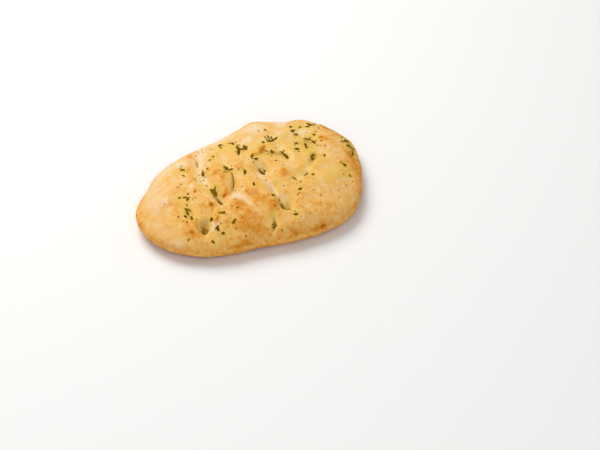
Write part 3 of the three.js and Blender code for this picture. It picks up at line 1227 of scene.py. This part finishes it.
@dataclass
class HerbDust:
    """Specks of the same herb, strewn by Geometry Nodes over the top of the crust.

    Attributes:
        per_square_cm: How many specks there are on a square centimetre where they lie thickest.
        smallest: The smallest speck's length, in mm.
        largest: The largest speck's length, in mm.
        seed: Picks where they lie.
        finish: The specks' finish.
    """

    per_square_cm: float = 6.5
    smallest: float = 0.7
    largest: float = 2.8
    seed: int = 4
    finish: ParsleyFinish = ParsleyFinish("herb_dust", colour(0.12, 0.065, 0.002), colour(0.24, 0.16, 0.005),
                                          colour(0.17, 0.065, 0.002))

    def tree(self) -> tuple[bpy.types.GeometryNodeTree, dict[str, float]]:
        """Builds the tree that strews the specks.

        Returns:
            The tree, and the value for each of its named inputs.
        """
        tree = bpy.data.node_groups.new("herb_dust", "GeometryNodeTree")
        face = tree.interface
        face.new_socket("Geometry", in_out="INPUT", socket_type="NodeSocketGeometry")
        values = {"Density": self.per_square_cm * 1e4, "Smallest": self.smallest * MM,
                  "Largest": self.largest * MM}
        for name in values:
            face.new_socket(name, in_out="INPUT", socket_type="NodeSocketFloat")
        face.new_socket("Seed", in_out="INPUT", socket_type="NodeSocketInt")
        face.new_socket("Herb", in_out="INPUT", socket_type="NodeSocketMaterial")
        face.new_socket("Geometry", in_out="OUTPUT", socket_type="NodeSocketGeometry")
        nodes = Nodes(tree)
        given = nodes.add("NodeGroupInput").outputs
        thick = nodes.add("GeometryNodeInputNamedAttribute", Name=Paint.HERB.value).outputs[0]
        density = nodes.math("MULTIPLY", given["Density"], nodes.math("POWER", thick, 1.5))
        strewn = nodes.add("GeometryNodeDistributePointsOnFaces", Mesh=given["Geometry"], Density=density,
                           Seed=given["Seed"])
        speck = nodes.add("GeometryNodeMeshIcoSphere", Radius=0.5, Subdivisions=2)
        lumpy = nodes.add("ShaderNodeTexNoise", Scale=1.6).outputs["Color"]
        shift = nodes.add("ShaderNodeVectorMath", {"operation": "MULTIPLY_ADD"})
        nodes.feed(shift.inputs[0], lumpy)
        nodes.feed(shift.inputs[1], (0.9, 0.9, 0.9))
        nodes.feed(shift.inputs[2], (-0.45, -0.45, -0.45))
        flake = nodes.add("GeometryNodeSetPosition", Geometry=speck.outputs["Mesh"], Offset=shift.outputs[0])
        spin = nodes.add("FunctionNodeRandomValue", {"data_type": "FLOAT"})
        nodes.feed(spin.inputs[3], math.tau)
        nodes.feed(spin.inputs["Seed"], given["Seed"])
        turn = nodes.add("FunctionNodeRotateRotation", {"rotation_space": "LOCAL"},
                         Rotation=strewn.outputs["Rotation"])
        axis = nodes.add("ShaderNodeCombineXYZ", Z=spin.outputs[1])
        nodes.feed(turn.inputs["Rotate By"], axis.outputs[0])
        chance = nodes.add("FunctionNodeRandomValue", {"data_type": "FLOAT"})
        nodes.feed(chance.inputs["Seed"], nodes.math("ADD", given["Seed"], 5))
        small = nodes.math("POWER", chance.outputs[1], 2.6)
        spread = nodes.math("SUBTRACT", given["Largest"], given["Smallest"])
        length = nodes.math("MULTIPLY_ADD", small, spread, given["Smallest"])
        slim = nodes.add("FunctionNodeRandomValue", {"data_type": "FLOAT"})
        nodes.feed(slim.inputs[2], 0.35)
        nodes.feed(slim.inputs[3], 0.8)
        nodes.feed(slim.inputs["Seed"], nodes.math("ADD", given["Seed"], 9))
        size = nodes.add("ShaderNodeCombineXYZ", X=length, Y=nodes.math("MULTIPLY", length, slim.outputs[1]),
                         Z=nodes.math("MULTIPLY", length, 0.25))
        placed = nodes.add("GeometryNodeInstanceOnPoints", Points=strewn.outputs["Points"],
                           Instance=flake.outputs[0], Rotation=turn.outputs[0], Scale=size.outputs[0])
        real = nodes.add("GeometryNodeRealizeInstances", Geometry=placed.outputs[0])
        dressed = nodes.add("GeometryNodeSetMaterial", Geometry=real.outputs[0], Material=given["Herb"])
        result = nodes.add("NodeGroupOutput")
        nodes.feed(result.inputs["Geometry"], dressed.outputs[0])
        return tree, values

    def build(self, crust: bpy.types.Object) -> bpy.types.Object:
        """Strews the specks.

        Args:
            crust: The finished crust.

        Returns:
            The specks, as one piece.
        """
        piece = link("parsley_dust", crust.data.copy())
        tree, values = self.tree()
        values["Seed"] = self.seed
        values["Herb"] = self.finish.material()
        run_nodes(piece, tree, values)
        shade_smooth(piece.data)
        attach(piece, BODY)
        return piece


# ------------------------------------------------------------------------------------------- the studio


@dataclass(frozen=True)
class Lamp:
    """A square soft light that points at the bread.

    Attributes:
        name: Its name.
        azimuth: The direction it stands in, in degrees from +X towards +Y.
        elevation: How high it stands, in degrees above the table.
        distance: How far it is, in metres.
        size: Its side, in metres.
        power: Its power, in watts.
        tint: Its colour.
    """

    name: str
    azimuth: float
    elevation: float
    distance: float
    size: float
    power: float
    tint: tuple[float, float, float] = (1.0, 1.0, 1.0)

    def build(self) -> bpy.types.Object:
        """Puts the light in its place.

        Returns:
            The light's object.
        """
        light = bpy.data.lights.new(self.name, "AREA")
        light.size = self.size
        light.energy = self.power
        light.color = self.tint
        lamp = bpy.data.objects.new(self.name, light)
        azimuth, elevation = math.radians(self.azimuth), math.radians(self.elevation)
        outward = Vector((math.cos(azimuth) * math.cos(elevation), math.sin(azimuth) * math.cos(elevation),
                          math.sin(elevation)))
        lamp.location = outward * self.distance
        lamp.rotation_euler = outward.to_track_quat("Z", "Y").to_euler()
        bpy.context.scene.collection.objects.link(lamp)
        return lamp


@dataclass
class Studio:
    """The floor, the lights and the camera.

    Attributes:
        aim: The point of the table in the middle of the view, in mm from the bread's middle.
        azimuth: The way the camera looks, in degrees from +Y, turning towards -X.
        elevation: How far down it looks, in degrees.
        distance: How far it is from that point, in mm.
        lens: Its focal length, in mm on a frame 36 mm wide.
        lamps: The lights.
        sky: The brightness of the even light from all round.
    """

    aim: tuple[float, float] = (16.7, -51.1)
    azimuth: float = 33.0
    elevation: float = 42.8
    distance: float = 1358.6
    lens: float = 93.0
    lamps: tuple[Lamp, ...] = (
        Lamp("key", 95, 55, 1.6, 1.1, 21.0, (1.0, 0.985, 0.96)),
        Lamp("fill", -120, 40, 2.2, 1.8, 14.0),
    )
    sky: float = 0.40

    SENSOR = 36.0  # the width of the camera's frame, in mm
    FLOOR = 8.0  # the floor's side, in metres

    def camera(self) -> None:
        """Makes the camera and sets it as the scene's."""
        data = bpy.data.cameras.new("camera")
        data.lens = self.lens
        data.sensor_width = self.SENSOR
        data.clip_end = 50
        camera = bpy.data.objects.new("camera", data)
        azimuth, elevation = math.radians(self.azimuth), math.radians(self.elevation)
        back = Vector((-math.sin(azimuth) * math.cos(elevation), -math.cos(azimuth) * math.cos(elevation),
                       math.sin(elevation)))
        camera.location = Vector((*self.aim, 0)) * MM + back * self.distance * MM
        camera.rotation_euler = back.to_track_quat("Z", "Y").to_euler()
        bpy.context.scene.collection.objects.link(camera)
        bpy.context.scene.camera = camera

    def floor(self) -> None:
        """Lays the pale floor that the bread rests on."""
        half = self.FLOOR / 2
        corners = [(-half, -half, 0), (half, -half, 0), (half, half, 0), (-half, half, 0)]
        mesh = bpy.data.meshes.new("floor")
        mesh.from_pydata(corners, [], [(0, 1, 2, 3)])
        material = bpy.data.materials.new("pale_floor")
        material.use_nodes = True
        shader = material.node_tree.nodes["Principled BSDF"]
        shader.inputs["Base Color"].default_value = colour(0.86, 0.86, 0.855)
        shader.inputs["Roughness"].default_value = 0.9
        mesh.materials.append(material)
        link("floor", mesh)

    def build(self) -> None:
        """Builds the whole studio."""
        self.camera()
        self.floor()
        for lamp in self.lamps:
            lamp.build()
        scene = bpy.context.scene
        scene.view_settings.view_transform = "Standard"
        world = bpy.data.worlds.new("studio")
        world.use_nodes = True
        background = world.node_tree.nodes["Background"]
        background.inputs["Color"].default_value = colour(1.0, 1.0, 1.0)
        background.inputs["Strength"].default_value = self.sky
        scene.world = world


def main() -> None:
    """Builds the bread, its herbs and the studio."""
    logging.basicConfig(level=logging.INFO, format="%(name)s: %(message)s")
    Studio().build()
    crust = Bread().build()
    leaves = Parsley().build(crust)
    dust = HerbDust().build(crust)
    for piece in (crust, *leaves, dust):
        log.info("%s: %d faces", piece.name, len(piece.data.polygons))


if __name__ == "__main__":
    main()
